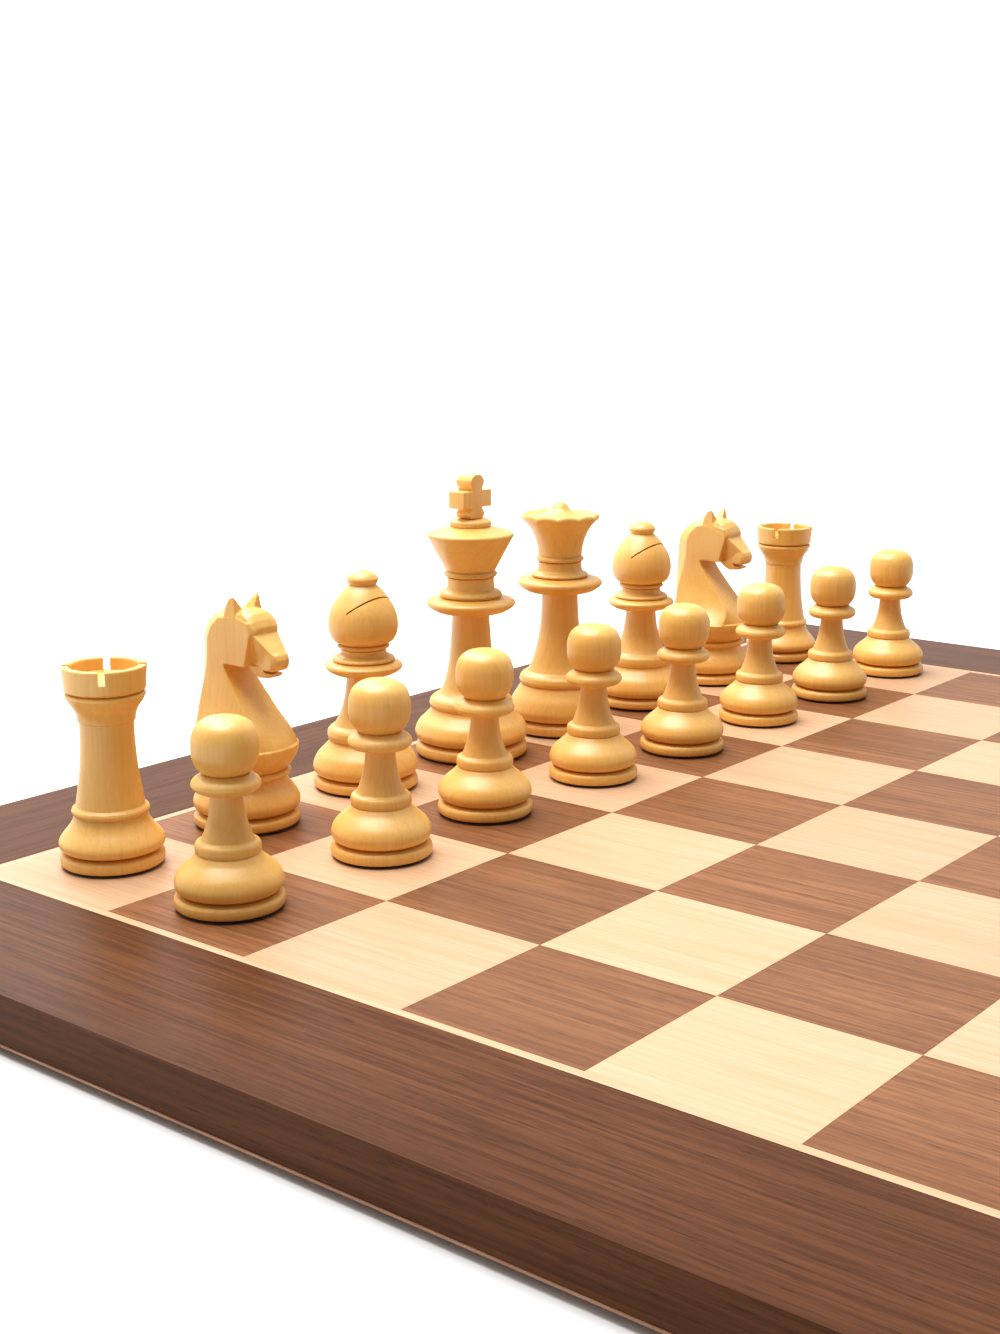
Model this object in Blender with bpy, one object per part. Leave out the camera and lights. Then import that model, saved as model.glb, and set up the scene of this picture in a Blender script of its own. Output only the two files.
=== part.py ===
"""Wooden chess set on its board, with the thirty-two pieces standing as at the start of a game.

The board's centre is at x = y = 0 and its feet stand on z = 0. Files a to h run toward +X and ranks 1
to 8 toward +Y, so White sits at -Y. The numbers below are millimetres, and each mesh is scaled to
metres as it is made. Heights in a piece's outline count from the playing surface.
"""

import math

import bmesh
import bpy
from mathutils import Matrix, Vector

MM = 0.001

# Board
SQUARE = 50.0
FILES = "abcdefgh"
BOARD_WIDTH = 500.0
STRINGING_WIDTH = 2.5
LIPPING_WIDTH = 3.0
VENEER = 0.6
CORE = 11.2
FOOT_HEIGHT = 1.7
FOOT_RADIUS = 10.0
FOOT_INSET = 25.0
GAP = 0.3

FIELD_HALF = SQUARE * len(FILES) / 2
BORDER_INNER = FIELD_HALF + STRINGING_WIDTH
BOARD_HALF = BOARD_WIDTH / 2
BACKING_Z = FOOT_HEIGHT + GAP
CORE_Z = BACKING_Z + VENEER + GAP
VENEER_Z = CORE_Z + CORE + GAP
SURFACE_Z = VENEER_Z + VENEER

# Turned pieces
SIDES = 12
PAWN_SIDES = 10
MERGE = 0.001
SMOOTH_ANGLE = math.radians(40)

# Each outline is (radius, height) from the foot's centre up to the axis at the top.
PAWN = (
    (0, 0.3), (13.5, 0.3), (14.4, 1.5), (14.4, 3.4), (12.9, 4.2), (14.15, 7.3), (13.5, 10.0),
    (9.5, 13.5), (8.5, 15.0), (8.5, 17.2), (6.6, 18.6), (4.4, 25.0), (3.75, 29.6), (8.75, 32.8),
    (8.3, 34.4), (5.8, 35.8), (8.45, 43.1), (6.6, 48.0), (0, 50.1),
)
ROOK_RIM = 11.4
ROOK_TOP = 55.8
ROOK_CUP_RADIUS = 9.3
ROOK_CUP_FLOOR = 52.0
ROOK = (
    (0, 0.3), (13.6, 0.3), (14.4, 1.2), (14.4, 3.7), (13.2, 4.4), (14.7, 7.0), (12.9, 10.0),
    (10.4, 13.6), (10.8, 15.6), (9.6, 17.2), (8.25, 25.0), (7.45, 37.0), (7.75, 42.0), (9.3, 45.0),
    (10.9, 47.0), (10.9, 48.4), (10.6, 49.0), (ROOK_RIM, ROOK_TOP), (ROOK_CUP_RADIUS, ROOK_TOP),
    (ROOK_CUP_RADIUS, ROOK_CUP_FLOOR), (0, ROOK_CUP_FLOOR),
)
BISHOP = (
    (0, 0.3), (15.8, 0.3), (16.6, 1.2), (16.6, 3.6), (15.3, 4.3), (16.7, 7.5), (15.3, 11.0),
    (12.2, 14.2), (11.9, 18.5), (9.6, 20.2), (7.2, 25.0), (5.4, 35.0), (12.1, 38.8), (11.4, 40.0),
    (7.0, 43.0), (8.05, 45.2), (8.3, 46.2), (10.1, 48.2), (10.8, 52.0), (9.25, 57.5), (5.7, 62.2),
    (3.9, 64.3), (5.0, 66.2), (3.6, 68.0), (0, 68.9),
)
QUEEN = (
    (0, 0.3), (16.9, 0.3), (17.7, 1.3), (17.7, 4.0), (16.4, 4.8), (17.9, 8.3), (16.6, 12.0),
    (13.9, 16.6), (14.1, 19.2), (10.9, 22.0), (8.8, 27.5), (6.8, 37.5), (6.2, 48.3), (12.8, 50.8),
    (14.75, 52.8), (9.9, 55.0), (9.7, 56.0), (7.5, 57.5), (7.5, 59.8), (8.3, 61.2), (7.7, 62.6),
    (8.5, 67.5), (10.7, 72.5), (13.6, 76.0), (13.2, 77.0), (11.5, 75.6), (3.5, 77.5), (1.9, 79.0),
    (0, 80.6),
)
KING_TOP = 79.8
CROSS_PEG_RADIUS = 1.7
CROSS_HOLE_RADIUS = 2.0
CROSS_HOLE_FLOOR = 73.8
KING = (
    (0, 0.3), (18.0, 0.3), (18.8, 1.3), (18.8, 4.2), (17.4, 5.0), (19.1, 8.6), (18.0, 11.2),
    (14.3, 14.8), (13.9, 16.2), (13.9, 18.8), (10.8, 20.8), (8.9, 25.0), (7.0, 36.0), (6.0, 47.0),
    (12.6, 49.5), (14.75, 51.5), (10.3, 53.6), (10.2, 55.0), (8.0, 56.6), (8.0, 59.9), (8.75, 61.4),
    (8.0, 62.8), (14.0, 73.6), (14.2, 74.5), (13.4, 75.4), (7.0, 77.2), (6.8, 78.6), (5.5, KING_TOP),
    (CROSS_HOLE_RADIUS, KING_TOP), (CROSS_HOLE_RADIUS, CROSS_HOLE_FLOOR), (0, CROSS_HOLE_FLOOR),
)
TENON_RADIUS = 4.0
TENON_FOOT = 9.3
SOCKET_RADIUS = 4.3
SOCKET_FLOOR = 9.0
KNIGHT_BASE_TOP = 17.0
KNIGHT_BASE = (
    (0, 0.3), (14.9, 0.3), (15.7, 1.2), (15.7, 3.7), (14.4, 4.4), (15.8, 8.0), (14.6, 10.5),
    (12.0, 14.4), (13.3, 16.0), (12.3, KNIGHT_BASE_TOP), (SOCKET_RADIUS, KNIGHT_BASE_TOP),
    (SOCKET_RADIUS, SOCKET_FLOOR), (0, SOCKET_FLOOR),
)

# The knight's carved part: a turned collar with a tenon below, and the horse's side outline.
DRUM_TOP = 25.0
KNIGHT_DRUM = (
    (0, TENON_FOOT), (TENON_RADIUS, TENON_FOOT), (TENON_RADIUS, KNIGHT_BASE_TOP + GAP),
    (12.3, KNIGHT_BASE_TOP + GAP), (14.2, 19.5), (15.6, 22.5), (15.8, DRUM_TOP), (0, DRUM_TOP),
)
# (forward, height, half-width) round the horse's side, from the back of the neck over the ears,
# face, mouth and throat to the chest.
HORSE = (
    (-15.0, 24.0, 4.0), (-15.2, 35.0, 3.0), (-16.0, 45.0, 1.5), (-14.6, 55.0, 1.5),
    (-9.8, 60.6, 2.5), (-3.5, 64.0, 4.0), (2.0, 67.8, 5.5), (5.5, 63.6, 6.5), (9.6, 59.8, 7.0),
    (9.6, 57.2, 4.6), (17.2, 50.5, 3.0), (17.2, 48.3, 3.0), (13.5, 45.3, 3.4), (10.0, 45.0, 4.0),
    (6.0, 48.3, 5.0), (-2.0, 48.0, 6.0), (0.0, 44.0, 6.2), (3.0, 40.0, 6.6), (7.2, 35.0, 7.0),
    (11.2, 30.5, 6.5), (15.0, 26.0, 4.5), (15.0, 24.0, 4.0), (0.0, 24.0, 12.0),
)

# Half of the cross's outline as (sideways, height), from its foot up to its top.
CROSS_THICKNESS = 6.0
CROSS = (
    (3.3, KING_TOP + GAP), (3.3, 81.5), (2.6, 82.6), (7.1, 83.2), (7.1, 89.0), (2.7, 89.4),
    (3.4, 91.5), (2.4, 93.3), (0.0, 94.1),
)

# Saw cut in the bishop's mitre: its height on the axis, its rise per unit forward, and its blind end.
MITRE_HEIGHT = 55.2
MITRE_SLOPE = 0.87
MITRE_BLIND = 2.0
KERF = 0.6

# Battlement notches of the rook
NOTCH_WIDTH = 2.2
NOTCH_DEPTH = 3.7

# White's pieces stand a little off the centres of their squares: (toward +X, toward +Y, turn in degrees).
WHITE_PLACES = {
    "rook_a": (-2.3, 0.0, 12), "knight_b": (1.2, -1.2, 0), "bishop_c": (2.0, 0.0, 0),
    "queen": (2.0, -0.2, 0), "king": (-2.4, -2.8, 0), "bishop_f": (-0.9, -3.3, 0),
    "knight_g": (0.0, -3.3, 0), "rook_h": (-0.8, -4.3, 52), "pawn_a": (-5.0, -2.0, 0),
    "pawn_b": (-2.3, 0.5, 0), "pawn_c": (-2.5, -1.0, 0), "pawn_d": (-0.5, 0.2, 0),
    "pawn_e": (-3.3, -2.7, 0), "pawn_f": (-1.5, -5.0, 0), "pawn_g": (-2.6, -2.0, 0),
    "pawn_h": (2.9, -3.5, 0),
}
BACK_RANK = {
    "rook_a": 0, "knight_b": 1, "bishop_c": 2, "queen": 3, "king": 4, "bishop_f": 5, "knight_g": 6,
    "rook_h": 7,
}
BLACK_DRIFT = 2.0

# Colour, roughness
FINISHES = {
    "boxwood": ((0.86, 0.50, 0.16), 0.38),
    "ebonised": ((0.030, 0.021, 0.017), 0.34),
    "maple": ((0.90, 0.72, 0.50), 0.42),
    "walnut": ((0.42, 0.25, 0.15), 0.45),
    "core": ((0.47, 0.34, 0.22), 0.80),
    "felt": ((0.016, 0.024, 0.018), 0.95),
}


def clear_scene():
    for obj in list(bpy.data.objects):
        bpy.data.objects.remove(obj, do_unlink=True)


def make_material(name):
    colour, roughness = FINISHES[name]
    material = bpy.data.materials.new(name)
    material.use_nodes = True
    shader = material.node_tree.nodes["Principled BSDF"]
    shader.inputs["Base Color"].default_value = (*colour, 1)
    shader.inputs["Roughness"].default_value = roughness
    shader.inputs["Metallic"].default_value = 0.0
    material.diffuse_color = (*colour, 1)
    return material


def make_body(name, x=0.0, y=0.0, z=0.0, turn=0.0):
    """An empty that carries the pieces of one rigid body."""
    body = bpy.data.objects.new(name, None)
    body.location = (x * MM, y * MM, z * MM)
    body.rotation_euler = (0, 0, math.radians(turn))
    body.empty_display_size = 0.01
    bpy.context.scene.collection.objects.link(body)
    return body


def make_object(name, bm, body, material):
    """Turns a bmesh in millimetres into a named object in metres, carried by a body."""
    bmesh.ops.recalc_face_normals(bm, faces=bm.faces[:])
    bmesh.ops.scale(bm, vec=Vector((MM, MM, MM)), verts=bm.verts[:])
    mesh = bpy.data.meshes.new(name)
    bm.to_mesh(mesh)
    bm.free()
    mesh.materials.append(material)
    mesh.shade_smooth()
    mesh.set_sharp_from_angle(angle=SMOOTH_ANGLE)
    obj = bpy.data.objects.new(name, mesh)
    bpy.context.scene.collection.objects.link(obj)
    obj.parent = body
    return obj


def hide_cutter(cutter):
    cutter.hide_render = True
    cutter.display_type = "WIRE"


def boolean(obj, other, operation):
    modifier = obj.modifiers.new(operation.title(), "BOOLEAN")
    modifier.operation = operation
    modifier.solver = "EXACT"
    modifier.object = other


def turned(outline, sides):
    """A solid of revolution about Z."""
    bm = bmesh.new()
    verts = [bm.verts.new((radius, 0, height)) for radius, height in outline]
    edges = [bm.edges.new(pair) for pair in zip(verts, verts[1:])]
    bmesh.ops.spin(
        bm, geom=verts + edges, cent=(0, 0, 0), axis=(0, 0, 1), angle=math.tau, steps=sides,
    )
    bmesh.ops.remove_doubles(bm, verts=bm.verts[:], dist=MERGE)
    return bm


def prism(corners, low, high):
    """An outline in the XY plane, raised from low to high."""
    bm = bmesh.new()
    face = bm.faces.new([bm.verts.new((x, y, low)) for x, y in corners])
    raised = bmesh.ops.extrude_face_region(bm, geom=[face])["geom"]
    bmesh.ops.translate(
        bm, vec=(0, 0, high - low), verts=[v for v in raised if isinstance(v, bmesh.types.BMVert)],
    )
    return bm


def square_corners(half):
    return [(-half, -half), (half, -half), (half, half), (-half, half)]


def disc_corners(x, y, radius, sides):
    angles = [math.tau * step / sides for step in range(sides)]
    return [(x + radius * math.cos(angle), y + radius * math.sin(angle)) for angle in angles]


def mitred_corners(inner, outer):
    """One side of a mitred frame, on the +Y side, with half a gap taken off each mitre."""
    mitre = GAP * math.sqrt(0.5)
    return [
        (inner - mitre, inner), (outer - mitre, outer), (mitre - outer, outer), (mitre - inner, inner),
    ]


def make_frame(prefix, inner, outer, low, high, body, material):
    """Four mitred strips, named for the sides of the board that they lie on."""
    for turn, side in enumerate(("black", "a_file", "white", "h_file")):
        bm = prism(mitred_corners(inner, outer), low, high)
        bmesh.ops.rotate(
            bm, cent=(0, 0, 0), matrix=Matrix.Rotation(turn * math.pi / 2, 3, "Z"), verts=bm.verts[:],
        )
        make_object(f"{prefix}_{side}", bm, body, material)


def make_board(materials):
    body = make_body("board_body")
    maple = materials["maple"]
    walnut = materials["walnut"]
    half_gap = GAP / 2
    make_object(
        "board_core",
        prism(square_corners(BOARD_HALF - LIPPING_WIDTH - GAP), CORE_Z, CORE_Z + CORE),
        body, materials["core"],
    )
    make_object(
        "backing_veneer",
        prism(square_corners(BOARD_HALF), BACKING_Z, BACKING_Z + VENEER),
        body, walnut,
    )
    make_object(
        "playing_field",
        prism(square_corners(FIELD_HALF - half_gap), VENEER_Z, SURFACE_Z),
        body, maple,
    )
    make_frame("lipping", BOARD_HALF - LIPPING_WIDTH, BOARD_HALF, CORE_Z, CORE_Z + CORE, body, walnut)
    make_frame(
        "stringing", FIELD_HALF + half_gap, BORDER_INNER - half_gap, VENEER_Z, SURFACE_Z, body, maple,
    )
    make_frame("border", BORDER_INNER + half_gap, BOARD_HALF, VENEER_Z, SURFACE_Z, body, walnut)
    for x_side, x_name in ((-1, "a"), (1, "h")):
        for y_side, y_name in ((-1, "1"), (1, "8")):
            centre = BOARD_HALF - FOOT_INSET
            corners = disc_corners(x_side * centre, y_side * centre, FOOT_RADIUS, SIDES)
            make_object(
                f"foot_{x_name}{y_name}", prism(corners, 0, FOOT_HEIGHT), body, materials["felt"],
            )


def make_notch_cutter(name, body, material):
    """Crossed bars that cut the rook's battlements."""
    bm = bmesh.new()
    reach = ROOK_RIM + 1
    for angle in (0, math.pi / 2):
        bar = bmesh.ops.create_cube(bm, size=1)["verts"]
        bmesh.ops.scale(bm, vec=(2 * reach, NOTCH_WIDTH, 2 * NOTCH_DEPTH), verts=bar)
        bmesh.ops.rotate(bm, cent=(0, 0, 0), matrix=Matrix.Rotation(angle, 3, "Z"), verts=bar)
        bmesh.ops.translate(bm, vec=(0, 0, ROOK_TOP), verts=bar)
    cutter = make_object(name, bm, body, material)
    hide_cutter(cutter)
    return cutter


def make_rook(name, body, material):
    rook = make_object(name, turned(ROOK, SIDES), body, material)
    cutter = make_notch_cutter(f"{name}_notches", body, material)
    boolean(rook, cutter, "DIFFERENCE")
    rook.modifiers[-1].use_self = True


def make_bishop(name, body, material):
    bishop = make_object(name, turned(BISHOP, SIDES), body, material)
    length = 20.0
    bm = bmesh.new()
    bmesh.ops.create_cube(bm, size=1)
    bmesh.ops.scale(bm, vec=(2 * length, length, KERF), verts=bm.verts[:])
    bmesh.ops.translate(bm, vec=(0, length / 2, 0), verts=bm.verts[:])
    slope = Matrix.Rotation(math.atan(MITRE_SLOPE), 3, "X")
    bmesh.ops.rotate(bm, cent=(0, 0, 0), matrix=slope, verts=bm.verts[:])
    height = MITRE_HEIGHT + MITRE_SLOPE * MITRE_BLIND
    bmesh.ops.translate(bm, vec=(0, MITRE_BLIND, height), verts=bm.verts[:])
    cutter = make_object(f"{name}_saw_cut", bm, body, material)
    hide_cutter(cutter)
    boolean(bishop, cutter, "DIFFERENCE")


def make_horse(name, body, material):
    """The horse's head and neck: its flat side outline is cut into triangles, then spread to its widths."""
    bm = bmesh.new()
    right = [bm.verts.new((1, forward, height)) for forward, height, _ in HORSE]
    left = [bm.verts.new((-1, forward, height)) for forward, height, _ in HORSE]
    rim = zip(right, right[1:] + right[:1], left[1:] + left[:1], left)
    for corners in rim:
        bm.faces.new(corners)
    sides = [bm.faces.new(right), bm.faces.new(left)]
    bmesh.ops.triangulate(bm, faces=sides, ngon_method="EAR_CLIP")
    for near, far, (_, _, width) in zip(right, left, HORSE):
        near.co.x = width
        far.co.x = -width
    return make_object(name, bm, body, material)


def make_knight(name, body, material):
    make_object(f"{name}_base", turned(KNIGHT_BASE, SIDES), body, material)
    head = make_object(f"{name}_head", turned(KNIGHT_DRUM, SIDES), body, material)
    horse = make_horse(f"{name}_horse", body, material)
    hide_cutter(horse)
    boolean(head, horse, "UNION")


def make_king(name, body, material):
    make_object(f"{name}_body", turned(KING, SIDES), body, material)
    mirrored = [(-x, z) for x, z in reversed(CROSS[:-1])]
    half = CROSS_THICKNESS / 2
    bm = prism([*CROSS, *mirrored], -half, half)
    upright = Matrix.Rotation(math.pi / 2, 3, "X")
    bmesh.ops.rotate(bm, cent=(0, 0, 0), matrix=upright, verts=bm.verts[:])
    cross = make_object(f"{name}_cross", bm, body, material)
    peg_sides = disc_corners(0, 0, CROSS_PEG_RADIUS, SIDES)
    peg = make_object(
        f"{name}_peg", prism(peg_sides, CROSS_HOLE_FLOOR + GAP, CROSS[1][1]), body, material,
    )
    hide_cutter(peg)
    boolean(cross, peg, "UNION")


def make_piece(kind, name, body, material):
    if kind == "pawn":
        make_object(name, turned(PAWN, PAWN_SIDES), body, material)
    elif kind == "queen":
        make_object(name, turned(QUEEN, SIDES), body, material)
    elif kind == "king":
        make_king(name, body, material)
    elif kind == "rook":
        make_rook(name, body, material)
    elif kind == "bishop":
        make_bishop(name, body, material)
    else:
        make_knight(name, body, material)


def square_centre(file_index, rank_index):
    return (file_index + 0.5) * SQUARE - FIELD_HALF, (rank_index + 0.5) * SQUARE - FIELD_HALF


def make_army(colour, material):
    """Sixteen pieces. Black's face the other way, and stand off their squares by a simple rule."""
    white = colour == "white"
    for index, piece in enumerate(WHITE_PLACES):
        kind = piece.split("_")[0]
        pawn = kind == "pawn"
        file_index = FILES.index(piece[-1]) if pawn else BACK_RANK[piece]
        if white:
            x, y = square_centre(file_index, 1 if pawn else 0)
            shift_x, shift_y, turn = WHITE_PLACES[piece]
        else:
            x, y = square_centre(file_index, 6 if pawn else 7)
            shift_x = BLACK_DRIFT * math.sin(2.4 * index)
            shift_y = BLACK_DRIFT * math.cos(1.7 * index)
            turn = 180
        name = f"{colour}_{piece}"
        body = make_body(f"{name}_stand", x + shift_x, y + shift_y, SURFACE_Z, turn)
        make_piece(kind, name, body, material)


def main():
    clear_scene()
    materials = {name: make_material(name) for name in FINISHES}
    make_board(materials)
    make_army("white", materials["boxwood"])
    make_army("black", materials["ebonised"])


main()
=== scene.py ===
"""The chess set's looks: turned and carved men with felted feet, and an inlaid, veneered board.

Outlines are written in millimetres above the playing surface and scaled to metres as they are made.
"""

import math
import random

import bmesh
import bpy
import numpy as np
from mathutils import Matrix, Vector


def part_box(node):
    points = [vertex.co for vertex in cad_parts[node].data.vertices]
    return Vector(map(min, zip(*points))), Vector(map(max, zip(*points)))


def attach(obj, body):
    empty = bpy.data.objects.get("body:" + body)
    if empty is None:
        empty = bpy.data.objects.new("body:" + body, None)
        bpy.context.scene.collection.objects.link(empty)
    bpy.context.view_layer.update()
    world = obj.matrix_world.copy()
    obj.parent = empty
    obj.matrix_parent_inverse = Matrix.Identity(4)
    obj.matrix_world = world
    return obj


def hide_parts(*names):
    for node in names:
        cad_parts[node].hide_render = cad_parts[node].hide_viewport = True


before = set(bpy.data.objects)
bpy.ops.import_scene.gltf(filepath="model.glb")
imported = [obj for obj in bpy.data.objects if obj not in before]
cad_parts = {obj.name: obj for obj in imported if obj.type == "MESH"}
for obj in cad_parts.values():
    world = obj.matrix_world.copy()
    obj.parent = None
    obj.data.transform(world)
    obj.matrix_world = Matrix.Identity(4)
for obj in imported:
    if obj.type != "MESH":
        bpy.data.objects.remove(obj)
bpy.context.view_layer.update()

MM = 0.001
FILES = "abcdefgh"
BACK_RANK = ("rook_a", "knight_b", "bishop_c", "queen", "king", "bishop_f", "knight_g", "rook_h")

# ---------------------------------------------------------------- the board's levels and edges, in metres
FIELD_LOW, FIELD_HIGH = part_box("playing_field")
SURFACE = FIELD_HIGH.z
VENEER_LOW = FIELD_LOW.z
BOARD_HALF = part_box("backing_veneer")[1].x
BORDER_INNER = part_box("border_black")[0].y
STRINGING_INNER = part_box("stringing_black")[0].y
# The CAD keeps CAD_GAP between neighbouring parts of the board, which the looks close to a fine joint
CAD_GAP = 0.0003
STRINGING_WIDTH = 0.0025
LIPPING_WIDTH = 0.003
VENEER_JOINT = 0.00004
EDGE_EASING = 0.0001
LIPPING_SETBACK = 0.00025

# Lathe work: radius turned on each corner of an outline and closest spacing of its points, in mm,
# and segments round a man
CORNER_RADIUS = 0.14
NEAREST_POINTS = 0.02
SEGMENTS = 72

# ---------------------------------------------------------------- outlines, (radius, height) in mm
# Each run is a smooth curve through its points, and runs meet in a turned corner.
PAWN = (
    ((0, 0.8), (13.7, 0.8)),
    ((13.7, 0.8), (14.1, 1.3), (14.2, 2.2), (14.1, 3.1)),
    ((14.1, 3.1), (13.6, 3.8), (12.6, 4.2)),
    ((12.6, 4.2), (11.2, 4.5), (12.5, 4.8)),
    ((12.5, 4.8), (13.5, 5.5), (14.0, 6.9), (13.8, 8.4), (12.9, 10.1), (11.2, 11.8), (9.5, 13.2),
     (8.4, 14.5)),
    ((8.4, 14.5), (8.15, 14.8), (8.45, 15.1)),
    ((8.45, 15.1), (8.5, 16.0), (8.4, 17.0)),
    ((8.4, 17.0), (8.0, 17.6), (7.2, 18.0)),
    ((7.2, 18.0), (6.8, 18.3)),
    ((6.8, 18.3), (6.0, 20.2), (5.1, 23.0), (4.5, 26.0), (4.05, 30.4)),
    ((4.05, 30.4), (6.0, 30.6)),
    ((6.0, 30.6), (7.6, 31.0), (8.6, 31.8)),
    ((8.6, 31.8), (8.9, 32.5), (8.75, 33.4)),
    ((8.75, 33.4), (8.2, 34.1), (7.2, 34.8), (6.3, 35.4)),
    ((6.3, 35.4), (5.6, 35.6), (6.4, 36.0)),
    ((6.4, 36.0), (7.7, 37.7), (8.45, 39.9), (8.6, 42.6), (8.35, 45.1), (7.3, 47.6), (5.2, 49.3),
     (2.6, 50.0), (0, 50.1)),
)
ROOK_TOP = 55.8
NOTCH_WIDTH = 1.9
NOTCH_DEPTH = 3.7
ROOK = (
    ((0, 0.8), (13.7, 0.8)),
    ((13.7, 0.8), (14.1, 1.3), (14.2, 2.3), (14.1, 3.2)),
    ((14.1, 3.2), (13.5, 3.9), (12.7, 4.2)),
    ((12.7, 4.2), (11.3, 4.5), (12.7, 4.8)),
    ((12.7, 4.8), (13.8, 5.3), (14.35, 6.3), (14.2, 7.6), (13.0, 9.4), (11.5, 11.2), (10.5, 12.8),
     (10.0, 14.3)),
    ((10.0, 14.3), (9.8, 14.7), (10.3, 15.0)),
    ((10.3, 15.0), (10.55, 15.7), (10.3, 16.4)),
    ((10.3, 16.4), (9.7, 16.9), (9.4, 17.2)),
    ((9.4, 17.2), (8.9, 20.0), (8.15, 25.0), (7.65, 30.0), (7.4, 35.0), (7.3, 40.2)),
    ((7.3, 40.2), (7.35, 40.4), (7.8, 40.6)),
    ((7.8, 40.6), (7.95, 42.0), (8.5, 43.7), (9.3, 45.0), (10.1, 46.1), (10.5, 47.0)),
    ((10.5, 47.0), (10.8, 47.5), (10.75, 48.1), (10.4, 48.5)),
    ((10.4, 48.5), (9.6, 48.75), (10.5, 49.0)),
    ((10.5, 49.0), (10.95, 49.3)),
    ((10.95, 49.3), (11.15, 52.5), (11.4, 55.4)),
    ((11.4, 55.4), (11.2, ROOK_TOP)),
    ((11.2, ROOK_TOP), (9.4, ROOK_TOP)),
    ((9.4, ROOK_TOP), (9.1, 55.3)),
    ((9.1, 55.3), (8.9, 52.4)),
    ((8.9, 52.4), (0, 52.0)),
)
BISHOP = (
    ((0, 0.8), (15.9, 0.8)),
    ((15.9, 0.8), (16.35, 1.3), (16.4, 2.2), (16.3, 3.0)),
    ((16.3, 3.0), (15.7, 3.7), (14.8, 4.1)),
    ((14.8, 4.1), (13.3, 4.4), (14.8, 4.7)),
    ((14.8, 4.7), (15.9, 5.3), (16.5, 6.6), (16.3, 8.3), (15.1, 10.8), (13.3, 12.7), (11.9, 14.2),
     (11.3, 15.2)),
    ((11.3, 15.2), (11.1, 15.5), (11.6, 15.8)),
    ((11.6, 15.8), (11.8, 17.2), (11.6, 18.6)),
    ((11.6, 18.6), (10.9, 19.4), (9.9, 20.0)),
    ((9.9, 20.0), (9.5, 20.3)),
    ((9.5, 20.3), (8.4, 22.2), (7.2, 25.2), (6.1, 30.0), (5.4, 35.7)),
    ((5.4, 35.7), (6.8, 35.9)),
    ((6.8, 35.9), (9.3, 36.5), (11.4, 37.6)),
    ((11.4, 37.6), (12.0, 38.3), (12.1, 39.1), (11.6, 39.7)),
    ((11.6, 39.7), (10.7, 40.1), (9.7, 40.3)),
    ((9.7, 40.3), (9.1, 40.5), (9.7, 40.8)),
    ((9.7, 40.8), (9.7, 41.3), (9.2, 41.8), (8.4, 42.0)),
    ((8.4, 42.0), (7.4, 42.7), (7.05, 43.5), (7.05, 44.2)),
    ((7.05, 44.2), (6.6, 44.3), (7.8, 44.6)),
    ((7.8, 44.6), (8.15, 45.1), (7.9, 45.7)),
    ((7.9, 45.7), (7.2, 45.9), (7.9, 46.2)),
    ((7.9, 46.2), (9.4, 47.1), (10.5, 49.2), (10.9, 52.0), (10.5, 55.0), (9.5, 57.6), (7.95, 60.1),
     (6.3, 62.3), (4.4, 64.2)),
    ((4.4, 64.2), (4.2, 64.5), (4.5, 64.8)),
    ((4.5, 64.8), (5.0, 65.9)),
    ((5.0, 65.9), (4.85, 66.5), (3.9, 67.6), (2.2, 68.5), (0, 68.9)),
)
QUEEN_RIM = 76.2
QUEEN_INSIDE = 11.4
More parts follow.
